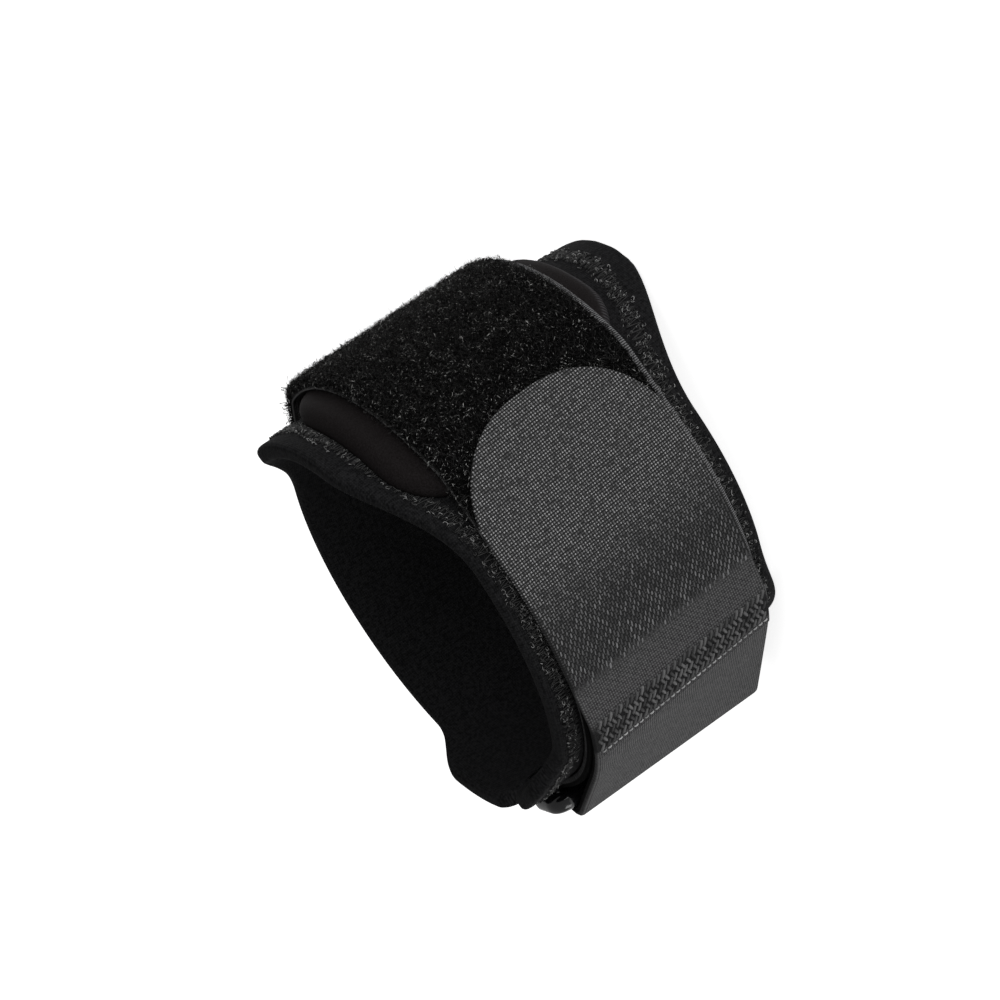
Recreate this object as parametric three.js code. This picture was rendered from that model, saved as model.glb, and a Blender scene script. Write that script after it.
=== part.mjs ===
// Tennis elbow strap: a padded forearm band closed by a strap that runs through a ring and folds back.
// Millimetres. The band's axis is Z with the elbow end up, and its front is at -Y.
// Angles are degrees round the axis: 0 at the front, 90 on the ring's side, -90 on the pad's side.
import * as THREE from "three";

// The forearm that the band closes round
const ARM_SIDE_RADIUS = 43.5;
const ARM_FRONT_RADIUS = 47.1;
const ARM_TAPER = 0.038;

// Neoprene band
const BASE_THICKNESS = 4;
const BASE_MARGIN = 5.2;
const BASE_RIM_ROUND = 1.4;
const BASE_END_CORNER = 7;
const LOBE_ANGLE = -63;
const LOBE_HALF_ANGLE = 64;
const LOBE_WRIST_REACH = 14.2;
const LOBE_ELBOW_REACH = 10.9;
const RING_WRIST_REACH = 4.3;
const RING_ELBOW_REACH = 6.5;
const RING_SWELL_HALF_ANGLE = 45;
const SEAM_GAP = 2;
const REST_PRESS = 0.4;

// Pressure pad
const PAD_ANGLE = -58;
const PAD_LENGTH = 68;
const PAD_WIDTH = 64.5;
const PAD_THICKNESS = 4;
const PAD_FRONT_CORNER = 16;
const PAD_REAR_CORNER = 28;
const PAD_ROLL = 3.6;
const PAD_EDGE = 0.6;
const PAD_SHIFT = 1.6;
const PAD_SKEW = 0.14;

// Loop pile strap
const STRAP_WIDTH = 50;
const STRAP_THICKNESS = 2.5;
const STRAP_DRIFT = -0.9;
const STRAP_SEWN_LENGTH = 30;
const STRAP_END_ANGLE = 46.7;

// Hook tab sewn on the strap's end
const TAB_WIDTH = 50;
const TAB_THICKNESS = 1.4;
const TAB_LENGTH = 78;
const TAB_LAP = 10.2;
const TAB_CORNER = 22.5;
const TAB_SHIFT = 1.4;

// Plastic ring
const RING_ANGLE = 107;
const RING_BAR = 4.4;
const RING_SLOT = 6.4;
const RING_SIDE_CLEARANCE = 0.4;

// Keeper that ties the ring to the band
const KEEPER_WIDTH = 46;
const KEEPER_THICKNESS = 1.5;
const KEEPER_SEWN_ANGLE = 143;

// Clearance between touching pieces
const SEAT = 0.3;

// How finely the shapes are cut
const BASE_STEPS = 116;
const PAD_STEPS = { rear: 12, middle: 12, front: 8 };
const STRAP_STEPS = { under: 96, turn: 12, over: 22 };
const KEEPER_STEPS = { under: 14, turn: 10, over: 14 };
const TAB_STEPS = { corner: 9, straight: 30 };
const ROUTE_STEPS = { under: 120, turn: 24, over: 60, leave: 12, tab: 140, along: 400 };
const RING_STEPS = { corner: 6, section: 12 };

// Cut corner of a cloth's edge and of the band's rim, as shares of the thickness and of the rim's round
const EDGE_CUT = 0.3;
const RIM_CUT = 0.3;
const RIM_INNER_CUT = 0.5;

// Ring's corner as a share of its bar, and the power that pushes the bar's round section towards a square
const RING_CORNER = 0.62;
const RING_SQUARE = 0.86;

// How far ahead of the bar the strap's second layer comes free of the first, in degrees
const FREE_ANGLE = 5;

// Where the band is wider. A swell holds its reach up to hold and is gone at end (shares of its half angle).
const lobe = { centre: LOBE_ANGLE, halfAngle: LOBE_HALF_ANGLE };
const ringSwell = { centre: RING_ANGLE, halfAngle: RING_SWELL_HALF_ANGLE };
const RIM_SWELLS = [
  { ...lobe, rim: "wrist", hold: 0.12, end: 1, reach: LOBE_WRIST_REACH },
  { ...lobe, rim: "elbow", hold: 0.32, end: 1.04, reach: LOBE_ELBOW_REACH },
  { ...ringSwell, rim: "wrist", hold: 0.61, end: 1.45, reach: RING_WRIST_REACH },
  { ...ringSwell, rim: "elbow", hold: 0.58, end: 1, reach: RING_ELBOW_REACH },
];

function degrees(radians) {
  return THREE.MathUtils.radToDeg(radians);
}

function radians(angle) {
  return THREE.MathUtils.degToRad(angle);
}

function polar(radius, angle) {
  return new THREE.Vector2(-radius * Math.sin(radians(angle)), -radius * Math.cos(radians(angle)));
}

function angleOf(point) {
  return degrees(Math.atan2(-point.x, -point.y));
}

function raised(point, z) {
  return new THREE.Vector3(point.x, point.y, z);
}

// Radius of the arm's skin: an oval cone that leans, so that its side under the pad is parallel to Z.
function armRadius(angle, z) {
  const oval = (ARM_FRONT_RADIUS - ARM_SIDE_RADIUS) * Math.cos(radians(angle)) ** 2;
  return ARM_SIDE_RADIUS + oval + ARM_TAPER * z * (1 + Math.sin(radians(angle)));
}

function bandRadius(angle, z) {
  return armRadius(angle, z) + BASE_THICKNESS;
}

// Closed solid through a row of sections with equal counts of points, joined end to end if it is a loop.
function loft(sections, loop = false) {
  const count = sections[0].length;
  const vertices = sections.flat();
  const index = [];
  const spans = loop ? sections.length : sections.length - 1;
  for (let i = 0; i < spans; i++) {
    const here = i * count;
    const next = ((i + 1) % sections.length) * count;
    for (let j = 0; j < count; j++) {
      const k = (j + 1) % count;
      index.push(here + j, next + j, next + k);
      index.push(here + j, next + k, here + k);
    }
  }
  if (!loop) {
    const last = (sections.length - 1) * count;
    for (let j = 1; j < count - 1; j++) {
      index.push(0, j, j + 1);
      index.push(last, last + j + 1, last + j);
    }
  }
  const geometry = new THREE.BufferGeometry().setFromPoints(vertices);
  geometry.setIndex(facesOut(vertices, index) ? index : index.reverse());
  geometry.computeVertexNormals();
  return geometry;
}

function facesOut(vertices, index) {
  let volume = 0;
  for (let i = 0; i < index.length; i += 3) {
    const [a, b, c] = [0, 1, 2].map((corner) => vertices[index[i + corner]]);
    volume += a.dot(new THREE.Vector3().crossVectors(b, c));
  }
  return volume > 0;
}

// How much a round corner takes off each side of a strip at a distance from the strip's end.
function cornerInset(distance, radius) {
  if (distance >= radius) return 0;
  return radius - Math.sqrt(radius ** 2 - (radius - distance) ** 2);
}

// Distances from a round end of a strip, close together where the corner turns fast.
function cornerDistances(radius, steps) {
  return Array.from({ length: steps }, (_, i) => radius * (1 - Math.cos((i / steps) * (Math.PI / 2))));
}

function evenSteps(from, to, steps) {
  return Array.from({ length: steps + 1 }, (_, i) => from + ((to - from) * i) / steps);
}

// Smooth fall from 1 up to hold down to 0 at end.
function fade(value, hold, end) {
  const t = THREE.MathUtils.clamp((value - hold) / (end - hold), 0, 1);
  return (1 + Math.cos(Math.PI * t)) / 2;
}

function rimSwell(rim, angle) {
  const reaches = RIM_SWELLS.filter((swell) => swell.rim === rim).map((swell) => {
    const turned = Math.abs(angle - swell.centre) % 360;
    const share = Math.min(turned, 360 - turned) / swell.halfAngle;
    return swell.reach * fade(share, swell.hold, swell.end);
  });
  return Math.max(...reaches);
}

function wristRim(angle) {
  return -(STRAP_WIDTH / 2 + BASE_MARGIN + rimSwell("wrist", angle));
}

function elbowRim(angle) {
  return STRAP_WIDTH / 2 + BASE_MARGIN + rimSwell("elbow", angle);
}

// The band stands on its wrist rim, which reaches lower at the lobe, so it leans and is pressed flat there.
const lobeFoot = polar(bandRadius(LOBE_ANGLE, wristRim(LOBE_ANGLE)), LOBE_ANGLE);
const ringFoot = polar(armRadius(90, wristRim(90)), 90);
const restSlope = (wristRim(90) - wristRim(LOBE_ANGLE)) / (lobeFoot.x - ringFoot.x);

function restHeight(x) {
  return wristRim(LOBE_ANGLE) + REST_PRESS + restSlope * (lobeFoot.x - x);
}

// Round edges of the band's section: z outward from the rim and height above the skin.
function bandProfile(wrist, elbow) {
  const round = Math.min(BASE_RIM_ROUND, BASE_THICKNESS / 2.2);
  const inner = RIM_INNER_CUT * round;
  const top = BASE_THICKNESS;
  const side = (rim, inward) => [
    [rim + inward * inner, 0],
    [rim, inner],
    [rim, top - round],
    [rim + inward * RIM_CUT * round, top - RIM_CUT * round],
    [rim + inward * round, top],
  ];
  return [...side(wrist, 1), ...side(elbow, -1).reverse()];
}

function baseWrap() {
  const seamAngle = RING_ANGLE - barTurn;
  const halfGap = degrees(SEAM_GAP / 2 / bandRadius(seamAngle, 0));
  const sections = evenSteps(seamAngle - 360 + halfGap, seamAngle - halfGap, BASE_STEPS).map((angle, i) => {
    const fromEnd = (Math.min(i, BASE_STEPS - i) / BASE_STEPS) * radians(360) * ARM_SIDE_RADIUS;
    const inset = cornerInset(fromEnd, BASE_END_CORNER);
    return bandProfile(wristRim(angle) + inset, elbowRim(angle) - inset).map(([z, height]) => {
      const point = polar(armRadius(angle, z) + height, angle);
      return raised(point, Math.max(z, restHeight(point.x)));
    });
  });
  return loft(sections);
}

function padCorner(along) {
  return along < 0 ? PAD_REAR_CORNER : PAD_FRONT_CORNER;
}

// How far the pad reaches to each side of its middle line.
function padLimit(along) {
  return PAD_WIDTH / 2 - cornerInset(PAD_LENGTH / 2 - Math.abs(along), padCorner(along));
}

// Height of the pad's face: full inside, rolled down towards its outline.
function padHeight(along, across) {
  const corner = padCorner(along);
  const beyondLength = Math.abs(along) - (PAD_LENGTH / 2 - corner);
  const beyondWidth = Math.abs(across) - (PAD_WIDTH / 2 - corner);
  const fromCentre = Math.hypot(Math.max(beyondLength, 0), Math.max(beyondWidth, 0));
  const inward = corner - fromCentre - Math.min(Math.max(beyondLength, beyondWidth), 0);
  const roll = THREE.MathUtils.clamp(1 - inward / PAD_ROLL, 0, 1);
  return PAD_EDGE + (PAD_THICKNESS - PAD_EDGE) * Math.sqrt(1 - roll ** 2);
}

function padPoint(along, across, height) {
  const arc = along + PAD_SKEW * across;
  const angle = PAD_ANGLE + degrees(arc / (ARM_SIDE_RADIUS + BASE_THICKNESS));
  const z = PAD_SHIFT + across;
  return raised(polar(bandRadius(angle, z) + SEAT + height, angle), z);
}

function pressurePad() {
  const half = PAD_LENGTH / 2;
  const rear = cornerDistances(PAD_REAR_CORNER, PAD_STEPS.rear).map((distance) => distance - half);
  const middle = evenSteps(PAD_REAR_CORNER - half, half - PAD_FRONT_CORNER, PAD_STEPS.middle);
  const front = cornerDistances(PAD_FRONT_CORNER, PAD_STEPS.front).map((distance) => half - distance);
  const stations = [...rear, ...middle, ...front.reverse()];
  const shares = [1, 0.985, 0.96, 0.93, 0.89, 0.6, 0.3];
  const across = [...shares.map((share) => -share), 0, ...shares.toReversed()];
  const sections = stations.map((along) => {
    const limit = padLimit(along);
    const face = across.map((share) => padPoint(along, share * limit, padHeight(along, share * limit)));
    return [...face, padPoint(along, limit, 0), padPoint(along, 0, 0), padPoint(along, -limit, 0)];
  });
  return loft(sections);
}

// How high the pad lifts the strap at an angle, between the strap's middle and one of its edges.
function padLift(angle, edge) {
  const arc = radians(angle - PAD_ANGLE) * (ARM_SIDE_RADIUS + BASE_THICKNESS);
  const lifts = evenSteps(0, edge - PAD_SHIFT, 5).map((across) => {
    const along = arc - PAD_SKEW * across;
    return Math.abs(along) < PAD_LENGTH / 2 ? padHeight(along, across) + SEAT : 0;
  });
  return Math.max(...lifts);
}

function drift(angle) {
  return STRAP_DRIFT * Math.sin(radians(angle));
}

// A taut strap bridges the hollows of what it runs over, so its chain of points only turns inward.
function taut(points) {
  const chain = [];
  for (const point of points) {
    while (chain.length > 1) {
      const before = chain.at(-1).clone().sub(chain.at(-2));
      const after = point.clone().sub(chain.at(-1));
      if (before.cross(after) < 0) break;
      chain.pop();
    }
    chain.push(point);
  }
  return chain;
}

// Distance from the axis to a chain, along an angle that the chain crosses.
function radiusOn(chain, angle) {
  const ray = polar(1, angle);
  const crossing = chain.findIndex(
    (point, i) => i > 0 && ray.dot(point) > 0 && ray.cross(point) < 1e-9 && ray.cross(chain[i - 1]) > -1e-9,
  );
  const next = Math.max(1, crossing);
  const step = chain[next].clone().sub(chain[next - 1]);
  return chain[next - 1].cross(step) / ray.cross(step);
}

function resampled(chain, steps) {
  const lengths = [0];
  chain.slice(1).forEach((point, i) => lengths.push(lengths[i] + point.distanceTo(chain[i])));
  return evenSteps(0, lengths.at(-1), steps).map((length) => {
    const next = Math.max(1, lengths.findIndex((reached) => reached >= length - 1e-9));
    const t = (length - lengths[next - 1]) / (lengths[next] - lengths[next - 1]);
    return chain[next - 1].clone().lerp(chain[next], t);
  });
}

// One edge of a strip that runs over a support, turns round a bar and comes back on top of itself.
function foldedEdge({ support, start, end, bar, wrap, pitch, steps }) {
  const centre = polar(bar.radius, bar.angle);
  const out = polar(1, bar.angle);
  const along = new THREE.Vector2(out.y, -out.x);
  const onBar = (turn) =>
    centre
      .clone()
      .addScaledVector(out, -wrap * Math.cos(radians(turn)))
      .addScaledVector(along, wrap * Math.sin(radians(turn)));
  const reach = Math.min(1, (support(bar.angle) + wrap) / bar.radius);
  const leave = degrees(Math.acos(reach));
  const front = evenSteps(start, bar.angle - leave, ROUTE_STEPS.under);
  const run = front.map((angle) => polar(support(angle), angle));
  const under = taut([...run, onBar(leave)]);
  const back = evenSteps(end, bar.angle - FREE_ANGLE, ROUTE_STEPS.over);
  const cover = back.map((angle) => polar(radiusOn(under, angle) + pitch, angle));
  const over = taut([...cover, ...evenSteps(270, 180, ROUTE_STEPS.leave).map(onBar)]);
  const turn = evenSteps(leave, 180, ROUTE_STEPS.turn).map(onBar);
  return [
    resampled(under, steps.under),
    resampled(turn, steps.turn),
    resampled(over.reverse(), steps.over),
  ];
}

function joined([under, turn, over]) {
  return [...under, ...turn.slice(1), ...over.slice(1)];
}

function mirrored(point) {
  return new THREE.Vector2(-point.x, point.y);
}

function normalsOf(chain) {
  return chain.map((_, i) => {
    const step = chain[Math.min(i + 1, chain.length - 1)].clone().sub(chain[Math.max(i - 1, 0)]);
    return new THREE.Vector2(-step.y, step.x).normalize();
  });
}

// Flat strip between a wrist edge and an elbow edge that lie a span apart, cut to its own width.
function strip({ wrist, elbow, span, width, shift, thickness, insets = [] }) {
  const wristNormals = normalsOf(wrist);
  const elbowNormals = normalsOf(elbow);
  const chamfer = EDGE_CUT * thickness;
  const sections = wrist.map((edge, i) => {
    const middle = edge.clone().lerp(elbow[i], 0.5);
    const half = width / 2 - (insets[i] ?? 0);
    const flat = half - chamfer;
    const high = thickness / 2;
    const side = high - chamfer;
    const profile = [
      [-flat, -high],
      [flat, -high],
      [half, -side],
      [half, side],
      [flat, high],
      [-flat, high],
      [-half, side],
      [-half, -side],
    ];
    return profile.map(([across, height]) => {
      const share = 0.5 + (across + shift) / span;
      const point = edge.clone().lerp(elbow[i], share);
      const normal = wristNormals[i].clone().lerp(elbowNormals[i], share);
      return raised(point.addScaledVector(normal, height), drift(angleOf(middle)) + shift + across);
    });
  });
  return loft(sections);
}

// The ring stands off the band by the strap that runs under its front bar.
const ringPitch = RING_SLOT + RING_BAR;
const barSupport = bandRadius(RING_ANGLE, drift(RING_ANGLE) + STRAP_WIDTH / 2);
const barRadius = barSupport + STRAP_THICKNESS + 2 * SEAT + RING_BAR / 2;
const barTurn = degrees(Math.asin(ringPitch / 2 / barRadius));
const ringRadius = barRadius * Math.cos(radians(barTurn));
const strapWrap = (RING_BAR + STRAP_THICKNESS) / 2 + SEAT;
const strapPitch = STRAP_THICKNESS + SEAT;

function strapEdge(side) {
  const edge = (angle) => drift(angle) + (side * STRAP_WIDTH) / 2;
  const lift = SEAT + STRAP_THICKNESS / 2;
  const sewnToPadMiddle = STRAP_SEWN_LENGTH + PAD_LENGTH / 2;
  return foldedEdge({
    support: (angle) => bandRadius(angle, edge(angle)) + padLift(angle, edge(angle)) + lift,
    start: PAD_ANGLE - degrees(sewnToPadMiddle / bandRadius(PAD_ANGLE, 0)),
    end: STRAP_END_ANGLE,
    bar: { angle: RING_ANGLE - barTurn, radius: barRadius },
    wrap: strapWrap,
    pitch: strapPitch,
    steps: STRAP_STEPS,
  });
}

const strapEdges = { wrist: strapEdge(-1), elbow: strapEdge(1) };

function loopStrap() {
  return strip({
    wrist: joined(strapEdges.wrist),
    elbow: joined(strapEdges.elbow),
    span: STRAP_WIDTH,
    width: STRAP_WIDTH,
    shift: 0,
    thickness: STRAP_THICKNESS,
  });
}

// The tab lies on the strap's end and, past it, on the strap's first layer.
function tabEdge([under, , over]) {
  const upper = over.toReversed();
  const lift = (STRAP_THICKNESS + TAB_THICKNESS) / 2 + SEAT;
  const lapAngle = STRAP_END_ANGLE + degrees(TAB_LAP / bandRadius(STRAP_END_ANGLE, 0));
  const tipAngle = lapAngle - degrees(TAB_LENGTH / (radiusOn(under, 0) + lift));
  const onStrap = (angle) => radiusOn(angle < STRAP_END_ANGLE ? under : upper, angle) + lift;
  const angles = evenSteps(tipAngle, lapAngle, ROUTE_STEPS.tab);
  const chain = taut(angles.map((angle) => polar(onStrap(angle), angle)));
  const length = chain.slice(1).reduce((sum, point, i) => sum + point.distanceTo(chain[i]), 0);
  const straight = evenSteps(TAB_CORNER, length, TAB_STEPS.straight);
  const distances = [...cornerDistances(TAB_CORNER, TAB_STEPS.corner), ...straight];
  const fine = resampled(chain, ROUTE_STEPS.along);
  return distances.map((distance) => fine[Math.round((distance / length) * ROUTE_STEPS.along)]);
}

function hookTab() {
  const corner = cornerDistances(TAB_CORNER, TAB_STEPS.corner);
  return strip({
    wrist: tabEdge(strapEdges.wrist),
    elbow: tabEdge(strapEdges.elbow),
    span: STRAP_WIDTH,
    width: TAB_WIDTH,
    shift: TAB_SHIFT,
    thickness: TAB_THICKNESS,
    insets: corner.map((distance) => cornerInset(distance, TAB_CORNER)),
  });
}

// The keeper comes from behind, so its edges are worked out in a mirrored plane.
function keeperEdge(side) {
  const edge = drift(RING_ANGLE) + (side * KEEPER_WIDTH) / 2;
  const chains = foldedEdge({
    support: (angle) => bandRadius(-angle, edge) + SEAT + KEEPER_THICKNESS / 2,
    start: -KEEPER_SEWN_ANGLE,
    end: -KEEPER_SEWN_ANGLE,
    bar: { angle: -RING_ANGLE - barTurn, radius: barRadius },
    wrap: (RING_BAR + KEEPER_THICKNESS) / 2 + SEAT,
    pitch: KEEPER_THICKNESS + SEAT,
    steps: KEEPER_STEPS,
  });
  return joined(chains).map(mirrored);
}

function ringKeeper() {
  return strip({
    wrist: keeperEdge(-1),
    elbow: keeperEdge(1),
    span: KEEPER_WIDTH,
    width: KEEPER_WIDTH,
    shift: 0,
    thickness: KEEPER_THICKNESS,
  });
}

// Rounded bar swept round a rectangle with round corners, flat in its own XY plane.
function ringLoop() {
  const halfPitch = ringPitch / 2;
  const halfLength = STRAP_WIDTH / 2 + RING_SIDE_CLEARANCE + RING_BAR / 2;
  const corner = RING_CORNER * RING_BAR;
  const corners = [
    { x: halfPitch - corner, y: halfLength - corner, turn: 0 },
    { x: corner - halfPitch, y: halfLength - corner, turn: 90 },
    { x: corner - halfPitch, y: corner - halfLength, turn: 180 },
    { x: halfPitch - corner, y: corner - halfLength, turn: 270 },
  ];
  const sections = corners.flatMap(({ x, y, turn }) =>
    evenSteps(turn, turn + 90, RING_STEPS.corner).map((angle) => {
      const away = new THREE.Vector2(Math.cos(radians(angle)), Math.sin(radians(angle)));
      return Array.from({ length: RING_STEPS.section }, (_, k) => {
        const [wide, high] = barPoint((k * 360) / RING_STEPS.section);
        return new THREE.Vector3(x + away.x * (corner + wide), y + away.y * (corner + wide), high);
      });
    }),
  );
  return loft(sections, true);
}

// The bar's section is a circle pushed a little towards a square.
function barPoint(angle) {
  const pushed = (value) => (RING_BAR / 2) * Math.sign(value) * Math.abs(value) ** RING_SQUARE;
  return [pushed(Math.cos(radians(angle))), pushed(Math.sin(radians(angle)))];
}

function named(name, geometry, color, roughness) {
  const material = new THREE.MeshStandardMaterial({ color, roughness, metalness: 0 });
  const mesh = new THREE.Mesh(geometry, material);
  mesh.name = name;
  return mesh;
}

const ring = named("strap_ring", ringLoop(), 0x0b0b0c, 0.18);
const ringFrame = new THREE.Group();
ringFrame.add(ring);
ring.rotation.set(Math.PI / 2, 0, 0);
const ringPlace = polar(ringRadius, RING_ANGLE);
ringFrame.position.set(ringPlace.x, ringPlace.y, drift(RING_ANGLE));
ringFrame.rotation.z = -radians(RING_ANGLE);

const band = new THREE.Group();
band.add(named("base_wrap", baseWrap(), 0x262629, 0.85));
band.add(named("pressure_pad", pressurePad(), 0x1c1b1d, 0.7));
band.add(named("loop_strap", loopStrap(), 0x161617, 0.95));
band.add(named("hook_tab", hookTab(), 0x45464a, 0.75));
band.add(named("ring_keeper", ringKeeper(), 0x222225, 0.8));
band.add(ringFrame);
band.rotation.y = -Math.atan(restSlope);

// The origin is under the middle of the part, on the surface that it rests on.
const part = new THREE.Group();
part.add(band);
part.updateMatrixWorld(true);
const box = new THREE.Box3().setFromObject(band, true);
const middle = box.getCenter(new THREE.Vector3());
band.position.set(-middle.x, -middle.y, -box.min.z);

export default part;
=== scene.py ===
import math

import bpy
import numpy as np
from mathutils import Matrix, Vector


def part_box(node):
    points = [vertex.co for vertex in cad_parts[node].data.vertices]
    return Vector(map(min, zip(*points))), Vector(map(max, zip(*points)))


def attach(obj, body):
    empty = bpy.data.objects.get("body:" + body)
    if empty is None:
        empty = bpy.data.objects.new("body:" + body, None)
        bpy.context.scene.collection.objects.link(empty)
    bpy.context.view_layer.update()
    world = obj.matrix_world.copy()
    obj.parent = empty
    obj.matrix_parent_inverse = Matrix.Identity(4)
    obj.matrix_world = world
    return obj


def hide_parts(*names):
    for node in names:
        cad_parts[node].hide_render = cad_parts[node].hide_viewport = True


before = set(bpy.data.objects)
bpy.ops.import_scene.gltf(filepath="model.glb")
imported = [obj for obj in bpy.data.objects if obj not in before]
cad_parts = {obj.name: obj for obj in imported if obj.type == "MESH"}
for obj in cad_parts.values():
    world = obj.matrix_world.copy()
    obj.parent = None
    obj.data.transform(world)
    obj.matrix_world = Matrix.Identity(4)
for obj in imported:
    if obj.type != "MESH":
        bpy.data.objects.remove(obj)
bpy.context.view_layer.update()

MM_PER_M = 1000
ORIGIN_STEPS = 1440

# Sizes of the part's source, in millimetres and degrees
ARM_SIDE_RADIUS = 43.5
ARM_FRONT_RADIUS = 47.1
ARM_TAPER = 0.038
BASE_THICKNESS = 4
BASE_MARGIN = 5.2
BASE_RIM_ROUND = 1.4
BASE_END_CORNER = 7
LOBE_ANGLE = -63
LOBE_HALF_ANGLE = 64
LOBE_WRIST_REACH = 14.2
LOBE_ELBOW_REACH = 10.9
RING_WRIST_REACH = 4.3
RING_ELBOW_REACH = 6.5
RING_SWELL_HALF_ANGLE = 45
SEAM_GAP = 2
REST_PRESS = 0.4
PAD_ANGLE = -58
PAD_LENGTH = 68
PAD_WIDTH = 64.5
PAD_THICKNESS = 4
PAD_FRONT_CORNER = 16
PAD_REAR_CORNER = 28
PAD_ROLL = 3.6
PAD_EDGE = 0.6
PAD_SHIFT = 1.6
PAD_SKEW = 0.14
STRAP_WIDTH = 50
STRAP_THICKNESS = 2.5
STRAP_DRIFT = -0.9
STRAP_SEWN_LENGTH = 30
STRAP_END_ANGLE = 46.7
TAB_WIDTH = 50
TAB_THICKNESS = 1.4
TAB_LENGTH = 78
TAB_LAP = 10.2
TAB_CORNER = 22.5
TAB_SHIFT = 1.4
RING_ANGLE = 107
RING_BAR = 4.4
RING_SLOT = 6.4
RING_SIDE_CLEARANCE = 0.4
KEEPER_WIDTH = 46
KEEPER_THICKNESS = 1.5
KEEPER_SEWN_ANGLE = 143
SEAT = 0.3
FACE_RADIUS = ARM_SIDE_RADIUS + BASE_THICKNESS
RING_CORNER = 0.62
RING_SQUARE = 0.86
FREE_ANGLE = 5

# Steps of the strap and the keeper before the ring's bar, round it and after it, and of the taut routes
STRAP_STEPS = (96, 12, 22)
KEEPER_STEPS = (14, 10, 14)
TAB_STEPS = 160
ROUTE_STEPS = {"under": 120, "turn": 24, "over": 60, "leave": 12, "tab": 140}
PAD_LIFT_POINTS = 6

# Each swell's rim, centre, half angle, hold and end as shares of the half angle, and reach
RIM_SWELLS = [
    ("wrist", LOBE_ANGLE, LOBE_HALF_ANGLE, 0.12, 1, LOBE_WRIST_REACH),
    ("elbow", LOBE_ANGLE, LOBE_HALF_ANGLE, 0.32, 1.04, LOBE_ELBOW_REACH),
    ("wrist", RING_ANGLE, RING_SWELL_HALF_ANGLE, 0.61, 1.45, RING_WRIST_REACH),
    ("elbow", RING_ANGLE, RING_SWELL_HALF_ANGLE, 0.58, 1, RING_ELBOW_REACH),
]


# Shape of the band, pad, strap, tab and keeper, as in the part's source


def polar(radius, angle):
    turn = np.radians(angle)
    return np.stack([-radius * np.sin(turn), -radius * np.cos(turn)], axis=-1)


def arm_radius(angle, z):
    turn = np.radians(angle)
    oval = (ARM_FRONT_RADIUS - ARM_SIDE_RADIUS) * np.cos(turn) ** 2
    return ARM_SIDE_RADIUS + oval + ARM_TAPER * z * (1 + np.sin(turn))


def band_radius(angle, z):
    return arm_radius(angle, z) + BASE_THICKNESS


def fade(value, hold, end):
    share = np.clip((value - hold) / (end - hold), 0, 1)
    return (1 + np.cos(np.pi * share)) / 2


def rim_swell(rim, angle):
    swell = np.zeros_like(np.asarray(angle, float))
    for name, centre, half_angle, hold, end, reach in RIM_SWELLS:
        if name == rim:
            turned = np.abs(angle - centre) % 360
            share = np.minimum(turned, 360 - turned) / half_angle
            swell = np.maximum(swell, reach * fade(share, hold, end))
    return swell


def wrist_rim(angle):
    return -(STRAP_WIDTH / 2 + BASE_MARGIN + rim_swell("wrist", angle))


def elbow_rim(angle):
    return STRAP_WIDTH / 2 + BASE_MARGIN + rim_swell("elbow", angle)


LOBE_RIM = float(wrist_rim(LOBE_ANGLE))
LOBE_FOOT = float(polar(band_radius(LOBE_ANGLE, LOBE_RIM), LOBE_ANGLE)[0])
RING_FOOT = float(polar(arm_radius(90, wrist_rim(90)), 90)[0])
REST_SLOPE = float(wrist_rim(90) - LOBE_RIM) / (LOBE_FOOT - RING_FOOT)


def rest_height(x):
    return LOBE_RIM + REST_PRESS + REST_SLOPE * (LOBE_FOOT - x)


def corner_inset(distance, radius):
    short = np.clip(radius - distance, 0, radius)
    return radius - np.sqrt(radius**2 - short**2)


def pad_corner(along):
    return np.where(np.asarray(along) < 0, PAD_REAR_CORNER, PAD_FRONT_CORNER)


def pad_height(along, across):
    corner = pad_corner(along)
    beyond_length = np.abs(along) - (PAD_LENGTH / 2 - corner)
    beyond_width = np.abs(across) - (PAD_WIDTH / 2 - corner)
    from_centre = np.hypot(np.maximum(beyond_length, 0), np.maximum(beyond_width, 0))
    inward = corner - from_centre - np.minimum(np.maximum(beyond_length, beyond_width), 0)
    roll = np.clip(1 - inward / PAD_ROLL, 0, 1)
    return PAD_EDGE + (PAD_THICKNESS - PAD_EDGE) * np.sqrt(1 - roll**2)


def pad_roll(along, across):
    """0 on the pad's flat face, 1 at its outline."""
    lost = 1 - (pad_height(along, across) - PAD_EDGE) / (PAD_THICKNESS - PAD_EDGE)
    return np.clip(lost * PAD_ROLL_GAIN, 0, 1)


def pad_around(along, across):
    """Length along the pad's outline, for the ribs across its rolled edge."""
    corner = pad_corner(along)
    beyond_length = np.maximum(np.abs(along) - (PAD_LENGTH / 2 - corner), 0)
    beyond_width = np.maximum(np.abs(across) - (PAD_WIDTH / 2 - corner), 1e-3)
    straight = np.minimum(np.abs(along), PAD_LENGTH / 2 - corner)
    return straight + corner * np.arctan2(beyond_length, beyond_width)


def pad_limit(along):
    return PAD_WIDTH / 2 - corner_inset(PAD_LENGTH / 2 - np.abs(along), pad_corner(along))


def pad_point(along, across, height):
    arc = along + PAD_SKEW * across
    angle = PAD_ANGLE + np.degrees(arc / FACE_RADIUS)
    z = PAD_SHIFT + across
    flat = polar(band_radius(angle, z) + SEAT + height, angle)
    return np.concatenate([flat, z[..., None]], axis=-1)


def pad_lift(angle, edge):
    arc = math.radians(angle - PAD_ANGLE) * FACE_RADIUS
    across = np.linspace(0, edge - PAD_SHIFT, PAD_LIFT_POINTS)
    along = arc - PAD_SKEW * across
    lifts = np.where(np.abs(along) < PAD_LENGTH / 2, pad_height(along, across) + SEAT, 0)
    return float(lifts.max())


def drift(angle):
    return STRAP_DRIFT * np.sin(np.radians(angle))


def cross(a, b):
    return a[..., 0] * b[..., 1] - a[..., 1] * b[..., 0]


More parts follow.
